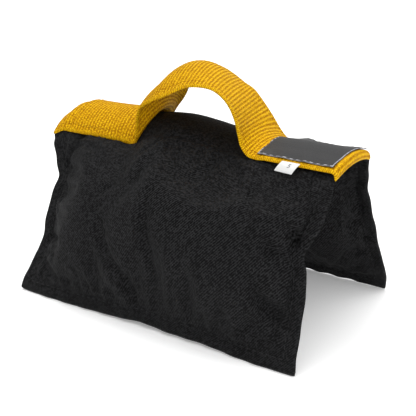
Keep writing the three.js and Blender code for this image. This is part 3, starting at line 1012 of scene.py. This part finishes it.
def strap_stations():
    """Near-edge, middle and far-edge points of the strap, in millimetres, from its left foot to the turned
    right end."""
    half, thick = webbing_size()

    def on_ridge(x, layer):
        return tuple(ridge_point(x, arc, layer + thick / 2) for arc in (-half, 0, half))

    raised = [
        ((-40.6, -20.9, 96.2), (-38.6, 0, 113.4), (-43.4, 21.0, 98.4)),
        ((-37.0, -20.6, 94.6), (-32.6, 0, 113.8), (-40.0, 21.4, 99.6)),
        ((-36.0, -20.6, 99.0), (-29.2, 0, 116.4), (-37.4, 21.8, 105.6)),
        ((-35.4, -20.2, 106.0), (-28.9, 0, 120.6), (-33.4, 22.0, 111.6)),
        ((-34.2, -20.8, 113.0), (-29.0, 0, 125.6), (-29.4, 22.2, 116.4)),
        ((-31.2, -21.8, 119.2), (-27.4, 0, 130.4), (-26.8, 22.3, 120.4)),
        ((-25.4, -22.2, 123.4), (-23.2, 0, 135.2), (-24.6, 22.4, 125.0)),
        ((-17.4, -23.2, 127.4), (-17.6, 0, 141.4), (-20.8, 22.6, 130.0)),
        ((-6.8, -24.4, 132.4), (-9.6, 0, 145.4), (-15.2, 23.2, 136.0)),
        ((4.0, -25.0, 137.6), (-1.0, 0, 146.0), (-9.0, 24.4, 140.2)),
        ((14.0, -25.2, 139.4), (7.6, 0, 143.6), (-0.4, 25.2, 139.0)),
        ((22.6, -25.2, 138.9), (14.8, 0, 139.8), (7.4, 25.2, 135.8)),
        ((29.4, -25.2, 135.5), (21.4, 0, 134.9), (14.2, 25.2, 132.0)),
        ((34.4, -25.2, 130.2), (27.6, 0, 129.4), (21.0, 25.2, 128.6)),
        ((38.0, -25.2, 122.8), (32.6, 0, 122.2), (27.8, 25.2, 121.8)),
        ((39.8, -25.2, 115.8), (36.8, 0, 115.8), (34.0, 25.2, 114.4)),
        ((41.6, -25.1, 109.2), (40.8, 0, 111.6), (40.2, 24.8, 106.4)),
        ((45.4, -24.8, 104.4), (45.6, 0, 108.8), (45.4, 24.4, 101.6)),
    ]
    left = [on_ridge(x, TOP_LAYER) for x in (-85, -77, -69, -61, -54, -47)]
    right = [on_ridge(x, BASE_LAYER) for x in (51, 57, 63, 70, 77, 84, 91, 96.2)]
    for place, (near, centre, far) in enumerate(right):
        right[place] = near, centre, (far[0] - 0.25 * place, *far[1:])
    stations = np.array(left + raised + right, float)
    turn = ((1.4, 0.1), (2.7, 0.9), (3.3, 2.3), (3.5, 3.9))
    return np.concatenate([stations, [stations[-1] + (reach, 0, -drop) for reach, drop in turn]])


def spline(points, places):
    """A centripetal curve through the points, read at places from 0 to the last index."""
    count = len(points)
    padded = np.concatenate([2 * points[:1] - points[1:2], points, 2 * points[-1:] - points[-2:-1]])
    gaps = np.sqrt(np.linalg.norm(np.diff(padded[:, 1], axis=0), axis=1)) + 1e-6
    knots = np.concatenate([[0], np.cumsum(gaps)])
    i = np.clip(places.astype(int), 0, count - 2)
    t0, t1, t2, t3 = (knots[i + k][:, None, None] for k in range(4))
    p0, p1, p2, p3 = (padded[i + k] for k in range(4))
    t = t1 + (places - i)[:, None, None] * (t2 - t1)
    a1 = (t1 - t) / (t1 - t0) * p0 + (t - t0) / (t1 - t0) * p1
    a2 = (t2 - t) / (t2 - t1) * p1 + (t - t1) / (t2 - t1) * p2
    a3 = (t3 - t) / (t3 - t2) * p2 + (t - t2) / (t3 - t2) * p3
    b1 = (t2 - t) / (t2 - t0) * a1 + (t - t0) / (t2 - t0) * a2
    b2 = (t3 - t) / (t3 - t1) * a2 + (t - t1) / (t3 - t1) * a3
    return (t2 - t) / (t2 - t1) * b1 + (t - t1) / (t2 - t1) * b2


def strap_line():
    """The strap's surface by millimetres along it and -1 to 1 across it."""
    stations = strap_stations()
    places = np.linspace(0, len(stations) - 1, 1600)
    dense = spline(stations, places)
    middle = dense[:, 1]
    run = np.concatenate([[0], np.cumsum(np.linalg.norm(np.diff(middle, axis=0), axis=1))])

    def place(along, across):
        def edge(k):
            read = [np.interp(along[:, 0], run, dense[:, k, axis]) for axis in range(3)]
            return np.stack(read, -1)[:, None, :]

        near, centre, far = (edge(k) for k in range(3))
        chord = (far - near) / 2
        sag = (far + near) / 2 - centre
        bend = 2 * np.arctan2(np.linalg.norm(sag, axis=-1), np.linalg.norm(chord, axis=-1))
        bend = np.maximum(bend, 0.02)
        side = np.sin(bend * across) / np.sin(bend)
        drop = (1 - np.cos(bend * across)) / (1 - np.cos(bend))
        return centre + chord * side[..., None] + sag * drop[..., None]

    return {"length": float(run[-1]), "place": place, "run": run, "x": middle[:, 0]}


BASE_START = -99.0  # the ridge webbing's left end
BASE_LENGTH = 58.0
STRIPS = {}


class SANDBAG_OT_webbing(bpy.types.Operator):
    """Build the ridge webbing and the strap that makes the handle and its feet"""

    bl_idname = "sandbag.webbing"
    bl_label = "Webbing and handle"

    def execute(self, context):
        half, thick = webbing_size()

        def on_ridge(along, across):
            return ridge_point(along + BASE_START, across * half, BASE_LAYER + thick / 2)

        base = {"length": BASE_LENGTH, "place": on_ridge}
        webbing = webbing_strip("ridge_webbing_strip", base)
        dress(webbing, "webbing", "spine")
        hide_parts("ridge_webbing")
        cut = (metres(2 * half), metres(BASE_LENGTH))
        line = strap_line()
        strap = webbing_strip("handle_strap", line)
        dress(strap, "webbing")
        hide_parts("handle_left_foot", "handle_arch", "handle_right_foot", "webbing_end_turn")
        cut = (metres(2 * half), line["length"] * MM)
        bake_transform(strap)
        STRIPS.update(ridge=base, strap=line)
        return {"FINISHED"}


# ---- Stitching ----
def stitch_pattern(length, radius):
    """One stitch: a short thread that dives in at both ends, modelled once. Returns its points and faces."""
    bpy.ops.object.select_all(action="DESELECT")
    bpy.ops.mesh.primitive_cylinder_add(vertices=7, radius=radius, depth=length, end_fill_type="TRIFAN")
    pattern = bpy.context.object
    bpy.ops.object.mode_set(mode="EDIT")
    for cut in (-0.38, -0.2, 0, 0.2, 0.38):
        bpy.ops.mesh.select_all(action="SELECT")
        bpy.ops.mesh.bisect(plane_co=(0, 0, cut * length), plane_no=(0, 0, 1))
    bpy.ops.mesh.select_all(action="DESELECT")
    bpy.ops.object.mode_set(mode="OBJECT")
    points = np.array([v.co for v in pattern.data.vertices], float)
    faces = [tuple(p.vertices) for p in pattern.data.polygons]
    share = points[:, 2] / (length / 2)
    plump = np.sqrt(np.clip(1.02 - share**4, 0.05, 1))
    dive = radius * 1.5 * share**4
    shaped = np.stack([points[:, 2], points[:, 1] * plump, points[:, 0] * plump - dive], -1)
    mesh = pattern.data
    bpy.data.objects.remove(pattern)
    bpy.data.meshes.remove(mesh)
    return shaped, faces


def stitched_row(name, line, colour, body, radius=0.3, lift=0.12):
    """A row of stitches along (point, normal) pairs, in millimetres, riding on a body."""
    sizes = bpy.context.scene.sandbag_sizes
    length, pitch = sizes.stitch_length / MM, sizes.stitch_pitch / MM
    places = np.array([p for p, n in line])
    normals = np.array([n for p, n in line])
    run = np.concatenate([[0], np.cumsum(np.linalg.norm(np.diff(places, axis=0), axis=1))])
    shape, faces = stitch_pattern(length, radius)
    points, all_faces = [], []
    count = int(run[-1] // pitch)

    def at(value):
        return np.array([np.interp(value, run, places[:, k]) for k in range(3)])

    for number in range(count):
        begin = number * pitch + (pitch - length) / 2
        start, end = at(begin), at(begin + length)
        along = (end - start) / np.linalg.norm(end - start)
        up = np.array([np.interp(begin + length / 2, run, normals[:, k]) for k in range(3)])
        up -= (up @ along) * along
        up /= np.linalg.norm(up)
        side = np.cross(up, along)
        origin = (start + end) / 2 + up * lift
        begin_index = len(points) * len(shape)
        points.append(origin + shape @ np.stack([along, side, up]))
        all_faces += [tuple(i + begin_index for i in f) for f in faces]
    mesh = bpy.data.meshes.new(name)
    mesh.from_pydata((np.concatenate(points) * MM).tolist(), [], all_faces)
    mesh.polygons.foreach_set("use_smooth", np.ones(len(mesh.polygons), bool))
    row = bpy.data.objects.new(name, mesh)
    bpy.context.scene.collection.objects.link(row)
    point_outwards(row)
    return dress(row, f"{colour}_thread", body)


def on_webbing(strip, runs, across):
    """(point, normal) pairs on a strip's top face, along it at a set place across, in millimetres from the
    middle."""
    line = STRIPS[strip]
    half, thick = webbing_size()
    along = np.array(runs, float)[:, None]
    place = np.array(across, float).reshape(-1)[None, :] / half
    count = len(along)
    three = np.concatenate([along - 0.2, along, along + 0.2])
    centre = line["place"](three, np.tile(place, (3 * count, 1)))
    offset = line["place"](along, np.tile(place + 0.01, (count, 1)))
    forward = centre[2 * count :, 0] - centre[:count, 0]
    side = offset[:, 0] - centre[count : 2 * count, 0]
    up = np.cross(forward, side)
    up /= np.linalg.norm(up, axis=1, keepdims=True)
    up *= np.sign(up[:, 2:3] + 1e-9)
    points = centre[count : 2 * count, 0] + up * (thick / 2)
    return list(zip(points, up))


class SANDBAG_OT_stitching(bpy.types.Operator):
    """Sew the hems, the webbing's edges and the handle's left foot"""

    bl_idname = "sandbag.stitching"
    bl_label = "Stitching"

    def execute(self, context):
        half, _ = webbing_size()
        line = STRIPS["strap"]
        foot_start, foot_end = (float(np.interp(x, line["x"], line["run"])) for x in (50, 95))
        for name in ("front", "rear"):
            for grid in ("outer", "inner"):
                seam = pouch_named(name).hem_line(grid)
                row = stitched_row(f"{name}_{grid}_topstitching", seam, "black", f"{name}_pouch", 0.34, 0.05)
                if grid == "outer":
                    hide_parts(f"{name}_topstitching")
        for side, sign in (("front", -1), ("rear", 1)):
            left = on_webbing("ridge", np.arange(2.0, 13.6, 0.4), sign * (half - 4.6))
            right = on_webbing("strap", np.arange(foot_start, foot_end, 0.4), sign * (half - 1.9))
            for end, seam in (("left", left), ("right", right)):
                row = stitched_row(f"{end}_edge_{side}_stitches", seam, "yellow", "spine")
                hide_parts(f"{end}_edge_stitching_{side}")
        start, end, side = 2.0, 29.0, half - 4.6
        foot = on_webbing("strap", np.arange(end, start, -0.4), side)
        for across in np.arange(side, -side, -0.4):
            foot += on_webbing("strap", [start], across)
        foot += on_webbing("strap", np.arange(start, end, 0.4), -side)
        row = stitched_row("handle_foot_stitches", foot, "yellow", "spine")
        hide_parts("handle_foot_stitching")
        return {"FINISHED"}


# ---- The label and the tag ----

def label_place(x, arc, height):
    """The label lies on the strap's right foot, with its far edge buckled up."""
    along = (x - LABEL_START) / LABEL_LENGTH
    far = ramp(arc, 8, 22)
    near = ramp(-arc, 14, 22)
    buckle = 1.9 * far * np.exp(-(((along - 0.23) / 0.10) ** 2))
    dip = -0.25 * far * np.exp(-(((along - 0.06) / 0.07) ** 2))
    ripple = 0.55 * far * (1 - np.exp(-((along / 0.3) ** 4))) * (0.6 + 0.4 * np.sin(along * 17))
    pillow = 0.32 * np.sin(np.pi * np.clip(along, 0, 1)) * (1 - far) * (1 - near)
    creep = 0.35 * near * np.sin(along * 21 + 0.6)
    lean = 1.3 * (arc / 22) * (1 - along)
    lifted = height + np.maximum(buckle + dip + ripple + pillow + creep, -0.1)
    return ridge_point(x - lean, arc, lifted)


class SANDBAG_OT_label(bpy.types.Operator):
    """Lay the woven label on the handle's right foot and sew it down"""

    bl_idname = "sandbag.label"
    bl_label = "Label"

    def execute(self, context):
        x = (LABEL_START + np.linspace(0, LABEL_LENGTH, 96))[:, None]
        arc = np.linspace(-LABEL_HALF, LABEL_HALF, 90)[None, :]
        base = BASE_LAYER + webbing_size()[1] + 0.2
        low = label_place(x + 0 * arc, arc + 0 * x, base)
        normal = grid_normals(low)
        normal *= np.sign(normal[..., 2:3])
        high = low + normal * 0.45
        flat = np.stack([arc + 0 * x, x - LABEL_START - LABEL_LENGTH / 2 + 0 * arc], -1)
        label = shell("woven_label_sheet", high, low, flat)
        dress(label, "label", "spine")
        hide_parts("woven_label")
        inset = 0.9
        left, right = LABEL_START + inset, LABEL_START + LABEL_LENGTH - inset
        near, far = inset - LABEL_HALF, LABEL_HALF - inset
        corners = [(px, near) for px in np.arange(left, right, 0.5)]
        corners += [(right, pa) for pa in np.arange(near, far, 0.5)]
        corners += [(px, far) for px in np.arange(right, left, -0.5)]
        corners += [(left, pa) for pa in np.arange(far, near + 2, -0.5)]
        seam = []
        for px, pa in corners:
            i = int(np.clip((px - LABEL_START) / LABEL_LENGTH * 95, 0, 95))
            j = int(np.clip((pa + LABEL_HALF) / (2 * LABEL_HALF) * 89, 0, 89))
            if not seam or np.linalg.norm(high[i, j] - seam[-1][0]) > 1e-6:
                seam.append((high[i, j], normal[i, j]))
        row = stitched_row("label_stitches", seam, "grey", "spine", 0.2, 0.02)
        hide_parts("label_stitching")
        return {"FINISHED"}


class SANDBAG_OT_tag(bpy.types.Operator):
    """Hang the small weight tag from under the webbing's front edge"""

    bl_idname = "sandbag.tag"
    bl_label = "Weight tag"

    def execute(self, context):
        u, v = np.meshgrid(np.linspace(0, 1, 25), np.linspace(0, 1, 25))
        top = np.array([(68.6, -25.7, 105.6), (79.2, -25.7, 105.6)])
        low = np.array([(65.4, -28.4, 100.5), (75.8, -28.7, 100.2)])
        edge_top = top[0] + (top[1] - top[0]) * u[..., None]
        edge_low = low[0] + (low[1] - low[0]) * u[..., None]
        front = edge_top + (edge_low - edge_top) * v[..., None]
        curl = np.sin(np.pi * v) * 0.5 + 0.12 * np.sin(2 * np.pi * u + 0.8) * v
        normal = grid_normals(front)
        normal *= np.sign(-normal[..., 1:2])
        front = front + normal * (curl + 0.9)[..., None]
        back = front - normal * 0.5
        flat = np.stack([u * 10.6, v * 8], -1)
        tag = shell("weight_tag_ribbon", front, back, flat)
        dress(tag, "tag", "tag")
        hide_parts("weight_tag")
        bpy.ops.object.select_all(action="DESELECT")
        bpy.ops.object.text_add()
        mark = bpy.context.object
        mark.name = "weight_tag_figure"
        mark.data.body = "5"
        mark.data.size = 0.0036
        mark.data.align_x = "CENTER"
        mark.data.align_y = "CENTER"
        mark.data.extrude = 0.00004
        mark.select_set(True)
        bpy.ops.object.convert(target="MESH")
        mark = bpy.context.object
        centre, up = front[9, 14] * MM, front[2, 14] - front[22, 14]
        across = front[9, 22] - front[9, 2]
        up, across = up / np.linalg.norm(up), across / np.linalg.norm(across)
        out = np.cross(across, up)
        points = np.array([v.co for v in mark.data.vertices], float)
        placed = centre + points @ np.stack([across, up, out]) + out * 0.00004
        mark.data.vertices.foreach_set("co", placed.astype(np.float32).ravel())
        mark.data.update()
        dress(mark, "ink", "tag")
        return {"FINISHED"}


# ---- The stage ----
class SANDBAG_OT_stage(bpy.types.Operator):
    """Set up the floor, the soft lights and the camera"""

    bl_idname = "sandbag.stage"
    bl_label = "Stage"

    def execute(self, context):
        scene = context.scene
        bpy.ops.object.select_all(action="DESELECT")
        bpy.ops.mesh.primitive_plane_add(size=8.0, location=(0, 0, -0.0002))
        floor = bpy.context.object
        floor.name = "floor"
        floor.data.materials.append(finish_named("floor"))
        for name, place, aim, size, power, colour in (
            ("key_light", (-0.15, 0.15, 1.15), (0, 0, 0.06), 0.9, 4.0, (1.0, 0.995, 0.98)),
            ("side_light", (1.3, -0.35, 0.4), (0.05, 0, 0.03), 1.1, 4.5, (0.99, 0.995, 1.0)),
        ):
            lamp = bpy.data.lights.new(name, "AREA")
            lamp.size = size
            lamp.energy = power
            lamp.color = colour
            light = bpy.data.objects.new(name, lamp)
            light.location = place
            light.rotation_euler = (Vector(aim) - Vector(place)).to_track_quat("-Z", "Y").to_euler()
            scene.collection.objects.link(light)
        sky = bpy.data.lights.new("overhead_light", "SUN")
        sky.energy = 2.0
        sky.angle = np.radians(70)
        overhead = bpy.data.objects.new("overhead_light", sky)
        overhead.rotation_euler = (np.radians(-6), np.radians(-4), 0)
        scene.collection.objects.link(overhead)
        world = bpy.data.worlds.new("studio")
        world.use_nodes = True
        world.node_tree.nodes["Background"].inputs["Color"].default_value = (1, 1, 1, 1)
        world.node_tree.nodes["Background"].inputs["Strength"].default_value = 0.62
        scene.world = world
        lens = bpy.data.cameras.new("camera")
        lens.lens = 77.506
        lens.sensor_width = 36
        camera = bpy.data.objects.new("camera", lens)
        camera.location = (0.2840, -0.4372, 0.2570)
        camera.rotation_euler = (np.radians(90 - 21.102), 0, np.radians(32.646))
        scene.collection.objects.link(camera)
        scene.camera = camera
        scene.view_settings.view_transform = "Standard"
        return {"FINISHED"}


class SANDBAG_PT_panel(bpy.types.Panel):
    """The sandbag's pieces, sizes and colours"""

    bl_idname = "SANDBAG_PT_panel"
    bl_label = "Sandbag"
    bl_space_type = "VIEW_3D"
    bl_region_type = "UI"
    bl_category = "Sandbag"

    def draw(self, context):
        for group in (context.scene.sandbag_sizes, context.scene.sandbag_colours):
            for name in group.__annotations__:
                self.layout.prop(group, name)
        for operator in OPERATORS:
            self.layout.operator(operator.bl_idname)


OPERATORS = (
    SANDBAG_OT_stage,
    SANDBAG_OT_pouches,
    SANDBAG_OT_fillings,
    SANDBAG_OT_webbing,
    SANDBAG_OT_stitching,
    SANDBAG_OT_label,
    SANDBAG_OT_tag,
)
CLASSES = (SandbagSizes, SandbagColours, *OPERATORS, SANDBAG_PT_panel)


def register():
    for made in CLASSES:
        bpy.utils.register_class(made)
    bpy.types.Scene.sandbag_sizes = PointerProperty(type=SandbagSizes)
    bpy.types.Scene.sandbag_colours = PointerProperty(type=SandbagColours)


def unregister():
    del bpy.types.Scene.sandbag_colours
    del bpy.types.Scene.sandbag_sizes
    for made in reversed(CLASSES):
        bpy.utils.unregister_class(made)


def main():
    """Builds every piece in order."""
    register()
    bpy.ops.sandbag.stage()
    bpy.ops.sandbag.pouches()
    bpy.ops.sandbag.fillings()
    bpy.ops.sandbag.webbing()
    bpy.ops.sandbag.stitching()
    bpy.ops.sandbag.label()
    bpy.ops.sandbag.tag()


if __name__ == "__main__":
    main()
